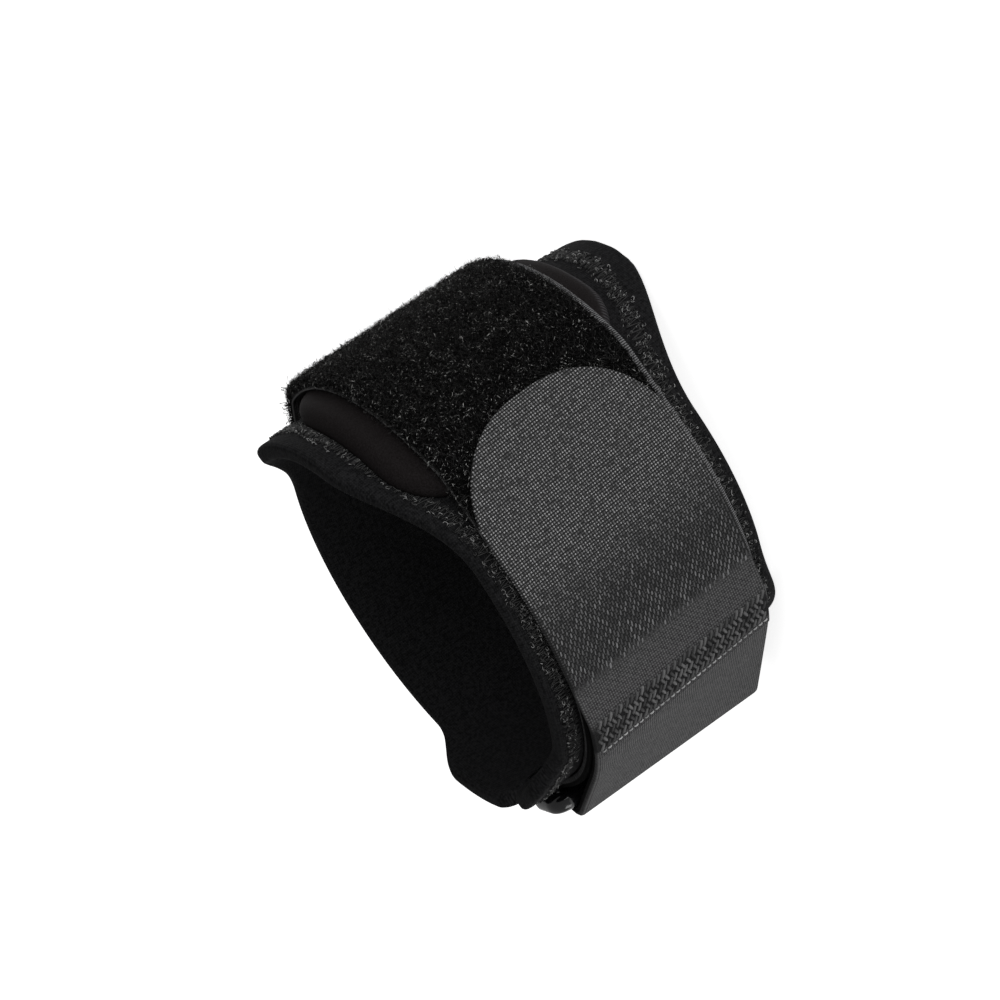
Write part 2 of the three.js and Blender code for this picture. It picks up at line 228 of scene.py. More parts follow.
def taut(points):
    chain = []
    for point in points:
        while len(chain) > 1 and cross(chain[-1] - chain[-2], point - chain[-1]) >= 0:
            chain.pop()
        chain.append(point)
    return np.array(chain)


def radius_on(chain, angle):
    ray = polar(1, angle)
    ahead = chain @ ray > 0
    side = ray[0] * chain[:, 1] - ray[1] * chain[:, 0]
    crossed = np.flatnonzero(ahead[1:] & (side[1:] < 1e-9) & (side[:-1] > -1e-9))
    i = crossed[0] + 1 if len(crossed) else 1
    step = chain[i] - chain[i - 1]
    return cross(chain[i - 1], step) / cross(ray, step)


def lengths_of(chain):
    return np.concatenate([[0], np.cumsum(np.linalg.norm(np.diff(chain, axis=0), axis=1))])


def along_chain(chain, lengths, where):
    return np.stack([np.interp(where, lengths, chain[:, k]) for k in range(chain.shape[1])], axis=-1)


def resampled(chain, steps):
    lengths = lengths_of(chain)
    return along_chain(chain, lengths, np.linspace(0, lengths[-1], steps + 1))


def folded_edge(support, start, end, bar_angle, bar_radius, wrap, pitch, steps):
    centre = polar(bar_radius, bar_angle)
    out = polar(1, bar_angle)
    along = np.array([out[1], -out[0]])

    def on_bar(turn):
        turned = math.radians(turn)
        return centre - out * wrap * math.cos(turned) + along * wrap * math.sin(turned)

    leave = math.degrees(math.acos(min(1, (support(bar_angle) + wrap) / bar_radius)))
    run_angles = np.linspace(start, bar_angle - leave, ROUTE_STEPS["under"] + 1)
    run = [polar(support(angle), angle) for angle in run_angles]
    under = taut([*run, on_bar(leave)])
    cover_angles = np.linspace(end, bar_angle - FREE_ANGLE, ROUTE_STEPS["over"] + 1)
    cover = [polar(radius_on(under, angle) + pitch, angle) for angle in cover_angles]
    leaving = [on_bar(angle) for angle in np.linspace(270, 180, ROUTE_STEPS["leave"] + 1)]
    over = taut([*cover, *leaving])
    turn = np.array([on_bar(angle) for angle in np.linspace(leave, 180, ROUTE_STEPS["turn"] + 1)])
    return resampled(under, steps[0]), resampled(turn, steps[1]), resampled(over[::-1], steps[2])


def joined(chains):
    under, turn, over = chains
    return np.concatenate([under, turn[1:], over[1:]])


def normals_of(chain):
    step = np.gradient(chain, axis=0)
    normal = np.stack([-step[:, 1], step[:, 0]], axis=-1)
    return normal / np.linalg.norm(normal, axis=1, keepdims=True)


class Strip:
    """A flat strip between a wrist edge and an elbow edge, addressed by millimetres along and across."""

    def __init__(self, wrist, elbow, span, shift=0):
        self.edges = np.concatenate([wrist, elbow, normals_of(wrist), normals_of(elbow)], axis=1)
        self.span = span
        self.shift = shift
        self.lengths = lengths_of((wrist + elbow) / 2)
        self.total = self.lengths[-1]

    def points(self, along, across, height):
        row = along_chain(self.edges, self.lengths, along)
        share = (0.5 + (across + self.shift) / self.span)[..., None]
        flat = row[..., 0:2] * (1 - share) + row[..., 2:4] * share
        normal = row[..., 4:6] * (1 - share) + row[..., 6:8] * share
        middle = (row[..., 0:2] + row[..., 2:4]) / 2
        angle = np.degrees(np.arctan2(-middle[..., 0], -middle[..., 1]))
        flat = flat + normal * np.asarray(height)[..., None]
        z = drift(angle) + self.shift + across
        return np.concatenate([flat, z[..., None]], axis=-1)


RING_PITCH = RING_SLOT + RING_BAR
BAR_SUPPORT = float(band_radius(RING_ANGLE, drift(RING_ANGLE) + STRAP_WIDTH / 2))
BAR_RADIUS = BAR_SUPPORT + STRAP_THICKNESS + 2 * SEAT + RING_BAR / 2
BAR_TURN = math.degrees(math.asin(RING_PITCH / 2 / BAR_RADIUS))
RING_RADIUS = BAR_RADIUS * math.cos(math.radians(BAR_TURN))


def strap_edge(side):
    lift = SEAT + STRAP_THICKNESS / 2

    def support(angle):
        edge = drift(angle) + side * STRAP_WIDTH / 2
        return float(band_radius(angle, edge)) + pad_lift(angle, edge) + lift

    return folded_edge(
        support,
        start=PAD_ANGLE - math.degrees((STRAP_SEWN_LENGTH + PAD_LENGTH / 2) / band_radius(PAD_ANGLE, 0)),
        end=STRAP_END_ANGLE,
        bar_angle=RING_ANGLE - BAR_TURN,
        bar_radius=BAR_RADIUS,
        wrap=(RING_BAR + STRAP_THICKNESS) / 2 + SEAT,
        pitch=STRAP_THICKNESS + SEAT,
        steps=STRAP_STEPS,
    )


def tab_edge(chains):
    under, _, over = chains
    upper = over[::-1]
    lift = (STRAP_THICKNESS + TAB_THICKNESS) / 2 + SEAT
    lap_angle = STRAP_END_ANGLE + math.degrees(TAB_LAP / band_radius(STRAP_END_ANGLE, 0))
    tip_angle = lap_angle - math.degrees(TAB_LENGTH / (radius_on(under, 0) + lift))

    def on_strap(angle):
        return radius_on(under if angle < STRAP_END_ANGLE else upper, angle) + lift

    angles = np.linspace(tip_angle, lap_angle, ROUTE_STEPS["tab"] + 1)
    chain = taut([polar(on_strap(angle), angle) for angle in angles])
    return resampled(chain, TAB_STEPS)


def keeper_edge(side):
    edge = drift(RING_ANGLE) + side * KEEPER_WIDTH / 2
    chains = folded_edge(
        lambda angle: float(band_radius(-angle, edge)) + SEAT + KEEPER_THICKNESS / 2,
        start=-KEEPER_SEWN_ANGLE,
        end=-KEEPER_SEWN_ANGLE,
        bar_angle=-RING_ANGLE - BAR_TURN,
        bar_radius=BAR_RADIUS,
        wrap=(RING_BAR + KEEPER_THICKNESS) / 2 + SEAT,
        pitch=KEEPER_THICKNESS + SEAT,
        steps=KEEPER_STEPS,
    )
    return joined(chains) * np.array([-1, 1])


strap_wrist = strap_edge(-1)
strap_elbow = strap_edge(1)
strap_line = Strip(joined(strap_wrist), joined(strap_elbow), STRAP_WIDTH)
tab_line = Strip(tab_edge(strap_wrist), tab_edge(strap_elbow), STRAP_WIDTH, TAB_SHIFT)
keeper_line = Strip(keeper_edge(-1), keeper_edge(1), KEEPER_WIDTH)


# The band leans, because its wrist rim reaches lower under the pad.
LEAN = Matrix.Rotation(-math.atan(REST_SLOPE), 3, "Y")


def leaned(points):
    return np.asarray(points, float) @ np.array(LEAN).T


def base_point(angle, z, height):
    flat = polar(arm_radius(angle, z) + height, angle)
    return np.concatenate([flat, np.maximum(z, rest_height(flat[..., 0]))[..., None]], axis=-1)


def origin_shift():
    angle = np.linspace(-180, 180, ORIGIN_STEPS + 1)
    rims = [base_point(angle, rim, BASE_THICKNESS / 2) for rim in (wrist_rim(angle), elbow_rim(angle))]
    low = leaned(np.concatenate(rims))[:, 2].min()
    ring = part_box("strap_ring")
    centre = leaned([[*polar(RING_RADIUS, RING_ANGLE), float(drift(RING_ANGLE))]])[0]
    middle = (np.array(ring[0]) + np.array(ring[1])) / 2 * MM_PER_M
    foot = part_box("base_wrap")[0].z * MM_PER_M
    return np.array([middle[0] - centre[0], middle[1] - centre[1], foot - low])


SHIFT = origin_shift()


def place(points):
    return (leaned(points) + SHIFT) / MM_PER_M


def nearest_length(line, point, last):
    """Length along a strip at the station nearest a point, up to the last station given."""
    away = np.linalg.norm(line.edges[: last + 1, 0:2] - point, axis=1)
    return float(line.lengths[np.argmin(away)])


# Places along the tab and the strap, in millimetres
DASH_TO_END = 1.7
ZIGZAG_LENGTH = 8.8
ZIGZAG_END = tab_line.total - DASH_TO_END - 1.0
ZIGZAG_START = ZIGZAG_END - ZIGZAG_LENGTH
CANVAS_START = ZIGZAG_START - 8.2
TAB_TIP_ALONG = nearest_length(strap_line, tab_line.edges[0, 0:2], STRAP_STEPS[0])
PILE_START = 0.3
PILE_END = TAB_TIP_ALONG + TAB_CORNER

# Weaves, pitches and depths of relief in millimetres
KNIT_ROW_PITCH = 0.55
KNIT_COLUMN_PITCH = 0.5
KNIT_SPOT_PITCH = 0.7
KNIT_SHARE = 0.45
KNIT_DEPTH = 0.12
PAD_RIB_PITCH = 0.85
PAD_RIB_ROLL = (0.25, 0.8)
PAD_RIB_ACROSS = (2, 8)
PAD_ROLL_GAIN = 2.5
PAD_GRAIN_PITCH = 0.35
PAD_GRAIN_SHARE = 0.15
PAD_DEPTH = 0.2
CANVAS_PICK_PITCH = 0.66
CANVAS_END_PITCH = 0.6
CANVAS_TWILL_PITCH = 1.5
CANVAS_SPOT_PITCH = 0.9
CANVAS_THREAD_SHARE = 0.75
CANVAS_SPOT_SHARE = 0.16
CANVAS_TWILL_SHARE = 0.1
CANVAS_DEPTH = 0.1
SELVEDGE = 1.35
SELVEDGE_PITCH = 0.5
WEFT_PITCH = 0.65
WARP_PITCH = 0.64
WEAVE_EDGE = (0.15, 0.85)
WEAVE_UNEVEN = (1.15, 0.1)
WEAVE_UNEVEN_PITCH = 0.7
WEAVE_DOT = (0.95, 0.06)
# Share of the weave's light lost towards the sewn end: partly covered by the floats, partly painted shade
WEAVE_LOSS_AND_SHADE = 0.88
WEAVE_DEPTH = 0.16
WEBBING_RIB_PITCH = 1.1
WEBBING_PICK_PITCH = 0.7
WEBBING_RIB_SHARE = 0.6
WEBBING_DEPTH = 0.25
GLOSS_ROUGH = (0.1, 0.1)
GLOSS_GRAIN_PITCH = 1.1
NOISE_RANGE = (0.3, 0.7)

# Meshes: steps of the cloths, corners of a thread
BASE_STEPS = 360
BASE_MEAN_RADIUS = 45
BASE_COLUMNS = 25
PAD_TURN_STEPS = 24
PAD_MIDDLE_POINTS = 40
PAD_COLUMNS = 61
CLOTH_STEP = 1.0
CLOTH_COLUMNS = 41
STRAP_EDGE_ROUND = 0.8
THIN_EDGE_ROUND = 0.5
EDGE_STEPS = 4
TAB_TURN_STEPS = 24
KEEPER_STATIONS = 90
KEEPER_COLUMNS = 25
RING_TURN_POINTS = 13
RING_SIDES = 32
THREAD_SIDES = 4
BINDING_POINTS = 700
BINDING_RADIUS = 0.3
DASH_POINTS = 6

# Pile: small loops, of which some stand out, and long thin hairs
PILE_ROUND = 1.2
PILE_OVERLAP = 0.3
PILE_POINTS = 5
PILE_COUNT = 16500
PILE_LIFT = (0.15, 0.45)
PILE_CLUMP = 0.28
PILE_STRAY = 0.14
PILE_STRAY_GROWTH = 1.9
PILE_STRAY_LIFT = 0.35
PILE_RADIUS = (0.16, 0.42)
PILE_WIDTH = (0.08, 0.12)
FIBRE_LIT = (0.69, 1.05)
FUZZ_POINTS = 4
FUZZ_COUNT = 14000
FUZZ_LENGTH = (0.9, 1.7)
FUZZ_EXTRA = 0.9
FUZZ_ROOT = 0.25
FUZZ_HALF_WIDTH = 0.03
FUZZ_TINT = 0.735

# Floats of the tab's warp: a low ridge on a six-sided outline, as shares of length, width and rise
FLOAT_GROWTH = 32
FLOAT_LENGTH = (0.55, 1.0)
FLOAT_WIDTH = (0.3, 0.2)
FLOAT_RISE = (0.13, 0.1)
FLOAT_SLANT = 0.4
FLOAT_SINK = 0.03
FLOAT_POINTS = [(-0.5, 0, 0), (-0.25, -0.5, 0), (0.25, -0.5, 0), (0.5, 0, 0), (0.25, 0.5, 0)]
FLOAT_POINTS += [(-0.25, 0.5, 0), (-0.2, 0, 1), (0.2, 0, 1)]
FLOAT_FACES = [[1, 2, 7, 6], [4, 5, 6, 7], [0, 1, 6], [2, 3, 7], [3, 4, 7], [5, 0, 6]]

# Stitches, and threads along the rims
STITCH_RISE = 0.16
STITCH_DIP = 0.12
DASH_PITCH = 1.5
DASH_LENGTH = 0.95
DASH_RADIUS = 0.22
ZIGZAG_DASH = 1.75
ZIGZAG_RADIUS = 0.4
# Each row's place in the zigzag, its offset in pitches and its slant
ZIGZAG_ROWS = [
    (0.1, 0.0, 0.9),
    (0.3, 0.5, -0.7),
    (0.5, 0.1, 1.0),
    (0.7, 0.6, -0.7),
    (0.9, 0.2, 0.9),
]
RIM_ARC_POINTS = 1600
RIM_END_ANGLE = 8
RIM_ROW_MIDDLE = 4.0
RIM_ROW_SHIFT = 0.25
RIM_THREAD_RADIUS = 0.09
# Pitch, reach and offset of each thread along a rim
RIM_ZIGZAGS = [(1.5, 2.3, 0.0), (1.9, 2.0, 0.3)]
CURL_COUNT = 2000
CURL_POINTS = 6
CURL_RADIUS = (0.16, 0.5)
CURL_THREAD_RADIUS = 0.07
CURL_SPREAD = 2.4
CURL_EDGE = 0.7
SEWN_PITCH = 3.2
SEWN_LENGTH = 2.4
SEWN_RADIUS = 0.24

# Linear colours
BASE_DARK = (0.0025, 0.0025, 0.0027)
BASE_LIGHT = (0.0135, 0.0135, 0.0142)
PAD_DARK = (0.0045, 0.0036, 0.0036)
PAD_LIGHT = (0.0085, 0.0073, 0.0075)
PAD_RIB = (0.036, 0.035, 0.037)
PILE_DARK = (0.0015, 0.0015, 0.0015)
SELVEDGE_LIGHT = (0.14, 0.14, 0.143)
FIBRE_DARK = (0.0022, 0.0021, 0.0021)
# Light colour of some fibres: partly paler fibres, partly painted glints
FIBRE_PALE_AND_GLINT = (0.31, 0.31, 0.30)
CANVAS_DARK = (0.014, 0.014, 0.0145)
CANVAS_LIGHT = (0.15, 0.149, 0.15)
# The tab's canvas is a darker copy of the strap's: partly its own tone, partly painted shade of the tab's
# lower part
TAPE_BACK_SHADED_LIGHT = (0.104, 0.103, 0.104)
TAPE_DARK = (0.010, 0.010, 0.0102)
TAPE_LIGHT = (0.26, 0.26, 0.262)
FLOAT_DARK = (0.026, 0.026, 0.0265)
FLOAT_LIGHT = (0.115, 0.115, 0.117)
# Painted shadow: colour of the tape's ground between the zigzag's stitches
SEWN_SHADOW = (0.011, 0.011, 0.0113)
THREAD_DARK = (0.006, 0.006, 0.0062)
# Light colour of the rim threads: partly light thread, partly painted highlights on the curls
THREAD_LIGHT_AND_GLINT = (0.26, 0.26, 0.257)
STITCH_DARK = (0.12, 0.12, 0.122)
STITCH_LIGHT = (0.34, 0.34, 0.342)
WEBBING_DARK = (0.006, 0.006, 0.0065)
WEBBING_LIGHT = (0.022, 0.022, 0.0235)
GLOSS_DARK = (0.004, 0.004, 0.0045)
GLOSS_LIGHT = (0.007, 0.007, 0.008)
FLOOR_DARK = (0.88, 0.88, 0.88)
FLOOR_LIGHT = (0.9, 0.9, 0.9)


# Meshes


def mesh_object(name, vertices, faces, material, replaces=(), attributes=None):
    mesh = bpy.data.meshes.new(name)
    mesh.from_pydata(np.asarray(vertices).tolist(), [], faces)
    for key, values in (attributes or {}).items():
        values = np.asarray(values, np.float32)
        kind = "FLOAT" if values.ndim == 1 else "FLOAT_VECTOR"
        layer = mesh.attributes.new(key, kind, "POINT")
        layer.data.foreach_set("value" if values.ndim == 1 else "vector", values.ravel())
    mesh.validate()
    mesh.polygons.foreach_set("use_smooth", [True] * len(mesh.polygons))
    mesh.materials.append(material)
    obj = bpy.data.objects.new(name, mesh)
    bpy.context.scene.collection.objects.link(obj)
    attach(obj, "root")
    if replaces:
        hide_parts(*replaces)
    return obj


def loft_faces(stations, count, loop=False):
    faces = []
    for i in range(stations if loop else stations - 1):
        here = i * count
        after = ((i + 1) % stations) * count
        for j in range(count):
            k = (j + 1) % count
            faces.append((here + j, after + j, after + k, here + k))
    if not loop:
        last = (stations - 1) * count
        faces.append(tuple(range(count - 1, -1, -1)))
        faces.append(tuple(range(last, last + count)))
    return faces


def facing_out(vertices, faces):
    corners = np.array([(f[0], f[1], f[2]) for f in faces])
    a, b, c = (vertices[corners[:, k]] for k in range(3))
    centre = vertices.mean(axis=0)
    volume = np.einsum("ij,ij->i", a - centre, np.cross(b - centre, c - centre)).sum()
    return faces if volume > 0 else [f[::-1] for f in faces]


def strip_section(half, thickness, edge_round, columns):
    """Closed outline of a flat strip's section: outer face, round edge, inner face, round edge."""
    high = thickness / 2
    flat_half, flat_high = half - edge_round, high - edge_round
    turns = np.radians(np.linspace(90, 0, EDGE_STEPS + 1))[1:]
    outer = [(share * flat_half, high) for share in np.linspace(-1, 1, columns)]
    bend = [(flat_half + edge_round * math.cos(t), flat_high + edge_round * math.sin(t)) for t in turns]
    side = bend + [(a, -h) for a, h in bend[::-1]]
    inner = [(a, -h) for a, h in outer[::-1]]
    left = [(-a, h) for a, h in side[::-1]]
    return np.array(outer + side + inner + left)


def cloth_loft(name, rows, cloth, material, node):
    """A closed skin through rows of points, each with its place in the cloth."""
    vertices = place(np.concatenate(rows))
    faces = facing_out(vertices, loft_faces(len(rows), len(rows[0])))
    return mesh_object(name, vertices, faces, material, [node], {"cloth": np.concatenate(cloth)})


def strip_mesh(name, line, stations, halves, thickness, edge_round, columns, slot, material, node):
    rows, cloth = [], []
    for along, half in zip(stations, halves):
        section = strip_section(half, thickness, edge_round, columns)
        across, height = section[:, 0], section[:, 1]
        where = np.full(len(section), along)
        rows.append(line.points(where, across, height))
        cloth.append(np.stack([where, across, np.sign(height)], axis=-1))
    return cloth_loft(name, rows, cloth, material, node)


# Materials


class Shade:
    """A cloth's or plastic's material, with short calls for the steps of its node tree."""

    def __init__(self, name, roughness, specular=0.03):
        self.material = bpy.data.materials.new(name)
        self.material.use_nodes = True
        self.tree = self.material.node_tree
        self.shader = self.tree.nodes["Principled BSDF"]
        self.shader.inputs["Roughness"].default_value = roughness
        self.shader.inputs["Specular IOR Level"].default_value = specular
        self.place = self.tree.nodes.new("ShaderNodeTexCoord").outputs["Object"]

    def link(self, source, target):
        self.tree.links.new(source, target)

    def calc(self, operation, *values):
        node = self.tree.nodes.new("ShaderNodeMath")
        node.operation = operation
        for socket, value in zip(node.inputs, values):
            if isinstance(value, bpy.types.NodeSocket):
                self.link(value, socket)
            else:
                socket.default_value = value
        return node.outputs[0]

    def attribute(self, name):
        node = self.tree.nodes.new("ShaderNodeAttribute")
        node.attribute_name = name
        return node

    def cloth(self):
        """Millimetres along, across, and the third value of the cloth attribute."""
        split = self.tree.nodes.new("ShaderNodeSeparateXYZ")
        self.link(self.attribute("cloth").outputs["Vector"], split.inputs["Vector"])
        return split.outputs["X"], split.outputs["Y"], split.outputs["Z"]

    def wave(self, value, pitch):
        """A sine between 0 and 1 that repeats after a pitch."""
        sine = self.calc("SINE", self.calc("MULTIPLY", value, 2 * math.pi / pitch))
        return self.calc("MULTIPLY_ADD", sine, 0.5, 0.5)

    def ease(self, value, low, high):
        """0 below low, 1 above high."""
        node = self.tree.nodes.new("ShaderNodeMapRange")
        node.interpolation_type = "SMOOTHSTEP"
        self.link(value, node.inputs["Value"])
        node.inputs["From Min"].default_value = low
        node.inputs["From Max"].default_value = high
        return node.outputs["Result"]

    def noise(self, pitch, detail=2.0):
        """Soft spots about a pitch in millimetres apart."""
        node = self.tree.nodes.new("ShaderNodeTexNoise")
        node.inputs["Scale"].default_value = MM_PER_M / pitch
        node.inputs["Detail"].default_value = detail
        self.link(self.place, node.inputs["Vector"])
        return self.ease(node.outputs["Fac"], *NOISE_RANGE)

    def mix(self, share, first, second):
        node = self.tree.nodes.new("ShaderNodeMix")
        node.data_type = "RGBA"
        self.link(share, node.inputs["Factor"])
        for value, socket in ((first, node.inputs[6]), (second, node.inputs[7])):
            if isinstance(value, bpy.types.NodeSocket):
                self.link(value, socket)
            else:
                socket.default_value = (*value, 1)
        return node.outputs[2]

    def finish(self, colour, height=None, depth=0):
        """Colour, and a relief with a depth in millimetres."""
        self.link(colour, self.shader.inputs["Base Color"])
        if height is not None:
            bump = self.tree.nodes.new("ShaderNodeBump")
            bump.inputs["Distance"].default_value = depth / MM_PER_M
            self.link(height, bump.inputs["Height"])
            self.link(bump.outputs["Normal"], self.shader.inputs["Normal"])
        return self.material


def neoprene_material():
    shade = Shade("neoprene_knit", 0.8)
    around, across, _ = shade.cloth()
    knit = shade.calc("MULTIPLY", shade.wave(around, KNIT_ROW_PITCH), shade.wave(across, KNIT_COLUMN_PITCH))
    spots = shade.calc("MULTIPLY", shade.noise(KNIT_SPOT_PITCH), 1 - KNIT_SHARE)
    share = shade.calc("MULTIPLY_ADD", knit, KNIT_SHARE, spots)
    return shade.finish(shade.mix(share, BASE_DARK, BASE_LIGHT), share, KNIT_DEPTH)


def pad_material():
    """Fine knit, with ribs across the rolled edge on the wrist's side."""
    shade = Shade("pad_knit", 0.7)
    around, across, roll = shade.cloth()
    to_wrist = shade.calc("MULTIPLY", across, -1.0)
    ribs = shade.calc("MULTIPLY", shade.wave(around, PAD_RIB_PITCH), shade.ease(roll, *PAD_RIB_ROLL))
    ribs = shade.calc("MULTIPLY", ribs, shade.ease(to_wrist, *PAD_RIB_ACROSS))
    grain = shade.noise(PAD_GRAIN_PITCH)
    relief = shade.calc("MULTIPLY_ADD", grain, PAD_GRAIN_SHARE, ribs)
    knit = shade.mix(grain, PAD_DARK, PAD_LIGHT)
    return shade.finish(shade.mix(ribs, knit, PAD_RIB), relief, PAD_DEPTH)


def canvas(shade, along, across, light):
    """Fine plain weave: its height and its colour."""
    picks = shade.wave(along, CANVAS_PICK_PITCH)
    threads = shade.calc("MULTIPLY", picks, shade.wave(across, CANVAS_END_PITCH))
    twill = shade.wave(shade.calc("ADD", along, across), CANVAS_TWILL_PITCH)
    spots = shade.calc("MULTIPLY", shade.noise(CANVAS_SPOT_PITCH, 3.0), CANVAS_SPOT_SHARE)
    share = shade.calc("MULTIPLY_ADD", threads, CANVAS_THREAD_SHARE, spots)
    share = shade.calc("MULTIPLY_ADD", twill, CANVAS_TWILL_SHARE, share)
    return share, shade.mix(share, CANVAS_DARK, light)


def strap_material():
    """Black ground under the pile, a ribbed selvedge at the wrist edge, and a canvas back."""
    shade = Shade("strap_ground", 0.85)
    along, across, side = shade.cloth()
    weave, back = canvas(shade, along, across, CANVAS_LIGHT)
    ribs = shade.wave(along, SELVEDGE_PITCH)
    to_wrist = shade.calc("MULTIPLY", across, -1.0)
    ground_end = STRAP_WIDTH / 2 - SELVEDGE
    edge = shade.ease(to_wrist, ground_end - 0.1, ground_end)
    face = shade.mix(edge, PILE_DARK, shade.mix(ribs, PILE_DARK, SELVEDGE_LIGHT))
    outer = shade.ease(side, -0.2, 0.2)
    relief = shade.calc("ADD", weave, shade.calc("MULTIPLY", ribs, edge))
    return shade.finish(shade.mix(outer, back, face), relief, CANVAS_DEPTH)


def fibre_material():
    shade = Shade("pile_fibre", 0.5, specular=0.06)
    # Fibres with a high tint take a light colour: partly paler fibres, partly painted glints of shiny loops
    light = shade.ease(shade.attribute("tint").outputs["Fac"], *FIBRE_LIT)
    return shade.finish(shade.mix(light, FIBRE_DARK, FIBRE_PALE_AND_GLINT))


def tape_material():
    """Rows of dots that give way to the floats and grow darker towards them, partly as painted shade, then
    canvas, then the ground of the zigzag in a painted shadow colour.
    """
    shade = Shade("hook_tape", 0.8)
    along, across, _ = shade.cloth()
    # Canvas with a darker light colour: partly the tape's own tone, partly painted shade
    height, back = canvas(shade, along, across, TAPE_BACK_SHADED_LIGHT)
    rows = shade.ease(shade.wave(along, WEFT_PITCH), *WEAVE_EDGE)
    columns = shade.ease(shade.wave(across, WARP_PITCH), *WEAVE_EDGE)
    lit = shade.calc("MULTIPLY_ADD", shade.noise(WEAVE_UNEVEN_PITCH, 1.0), *WEAVE_UNEVEN)
    dots = shade.calc("MULTIPLY_ADD", shade.calc("MULTIPLY", columns, lit), *WEAVE_DOT)
    weave = shade.calc("MULTIPLY", rows, dots)
    # The weave darkens towards the sewn end where the floats grow: partly the floats covering it, partly
    # painted shade of the tab's lower part
    floats_and_shade = shade.ease(along, CANVAS_START - FLOAT_GROWTH, CANVAS_START - FLOAT_GROWTH / 3)
    weave = shade.calc("MULTIPLY", weave, shade.calc("MULTIPLY_ADD", floats_and_shade, -WEAVE_LOSS_AND_SHADE, 1.0))
    woven = shade.mix(weave, TAPE_DARK, TAPE_LIGHT)
    plain = shade.ease(along, CANVAS_START - 2.5, CANVAS_START + 1)
    # Painted shadow: the tape's ground under the zigzag takes a dark colour that stands for the shade
    # between its stitches
    sewn = shade.ease(along, ZIGZAG_START - 1.0, ZIGZAG_START + 2.5)
    past = shade.ease(along, ZIGZAG_END - 0.4, ZIGZAG_END + 0.6)
    shaded = shade.calc("SUBTRACT", sewn, past)
    colour = shade.mix(shaded, shade.mix(plain, woven, back), SEWN_SHADOW)
    relief = shade.calc("MULTIPLY_ADD", plain, shade.calc("SUBTRACT", height, weave), weave)
    return shade.finish(colour, relief, WEAVE_DEPTH)


def thread_material(name, dark, light):
    shade = Shade(name, 0.6, specular=0.1)
    return shade.finish(shade.mix(shade.attribute("tint").outputs["Fac"], dark, light))


def webbing_material():
    shade = Shade("webbing", 0.8)
    along, across, _ = shade.cloth()
    picks = shade.calc("MULTIPLY", shade.wave(along, WEBBING_PICK_PITCH), 1 - WEBBING_RIB_SHARE)
    share = shade.calc("MULTIPLY_ADD", shade.wave(across, WEBBING_RIB_PITCH), WEBBING_RIB_SHARE, picks)
    return shade.finish(shade.mix(share, WEBBING_DARK, WEBBING_LIGHT), share, WEBBING_DEPTH)


def gloss_material():
    shade = Shade("gloss_plastic", GLOSS_ROUGH[0], specular=0.5)
    grain = shade.noise(GLOSS_GRAIN_PITCH)
    shade.link(shade.calc("MULTIPLY_ADD", grain, *GLOSS_ROUGH), shade.shader.inputs["Roughness"])
    return shade.finish(shade.mix(grain, GLOSS_DARK, GLOSS_LIGHT))


# Pieces


def base_cloth(material):
    seam = RING_ANGLE - BAR_TURN
    half_gap = math.degrees(SEAM_GAP / 2 / band_radius(seam, 0))
    angles = np.linspace(seam - 360 + half_gap, seam - half_gap, BASE_STEPS + 1)
    rows, cloth = [], []
    for i, angle in enumerate(angles):
        from_end = min(i, BASE_STEPS - i) / BASE_STEPS * 2 * math.pi * ARM_SIDE_RADIUS
        inset = float(corner_inset(from_end, BASE_END_CORNER))
        wrist, elbow = float(wrist_rim(angle)) + inset, float(elbow_rim(angle)) - inset
        half, centre = (elbow - wrist) / 2, (elbow + wrist) / 2
        section = strip_section(half, BASE_THICKNESS, BASE_RIM_ROUND, BASE_COLUMNS)
        z, height = centre + section[:, 0], section[:, 1] + BASE_THICKNESS / 2
        rows.append(base_point(np.full(len(z), angle), z, height))
        around = np.full(len(z), math.radians(angle) * BASE_MEAN_RADIUS)
        cloth.append(np.stack([around, z, height], axis=-1))
    return cloth_loft("base_cloth", rows, cloth, material, "base_wrap")


def pad_cloth(material):
    half = PAD_LENGTH / 2
    turned = 1 - np.cos(np.linspace(0, math.pi / 2, PAD_TURN_STEPS + 1)[:-1])
    rear = PAD_REAR_CORNER * turned - half
    middle = np.linspace(PAD_REAR_CORNER - half, half - PAD_FRONT_CORNER, PAD_MIDDLE_POINTS)
    front = (half - PAD_FRONT_CORNER * turned)[::-1]
    share = np.sin(np.linspace(-math.pi / 2, math.pi / 2, PAD_COLUMNS))
    rows, cloth = [], []
    for along in np.concatenate([rear, middle, front]):
        limit = float(pad_limit(along))
        across = np.concatenate([share * limit, share[::-1][1:-1] * limit])
        height = np.concatenate([pad_height(along, share * limit), np.zeros(len(share) - 2)])
        rows.append(pad_point(np.full(len(across), along), across, height))
        cloth.append(np.stack([pad_around(along, across), across, pad_roll(along, across)], axis=-1))
    return cloth_loft("pad_cloth", rows, cloth, material, "pressure_pad")


def strap_cloth(material):
    stations = np.arange(0, strap_line.total + 0.01, CLOTH_STEP)
    halves = np.full(len(stations), STRAP_WIDTH / 2)
    sizes = (STRAP_THICKNESS, STRAP_EDGE_ROUND, CLOTH_COLUMNS)
    course = (strap_line, stations, halves)
    return strip_mesh("strap_cloth", *course, *sizes, "loop_pile", material, "loop_strap")


def tab_cloth(material):
    turned = 1 - np.cos(np.linspace(0, math.pi / 2, TAB_TURN_STEPS + 1)[:-1])
    straight = np.arange(TAB_CORNER, tab_line.total, CLOTH_STEP)
    stations = np.concatenate([TAB_CORNER * turned, straight, [tab_line.total]])
    halves = TAB_WIDTH / 2 - corner_inset(stations, TAB_CORNER)
    sizes = (TAB_THICKNESS, THIN_EDGE_ROUND, CLOTH_COLUMNS)
    course = (tab_line, stations, halves)
    return strip_mesh("tab_cloth", *course, *sizes, "hook_tape", material, "hook_tab")


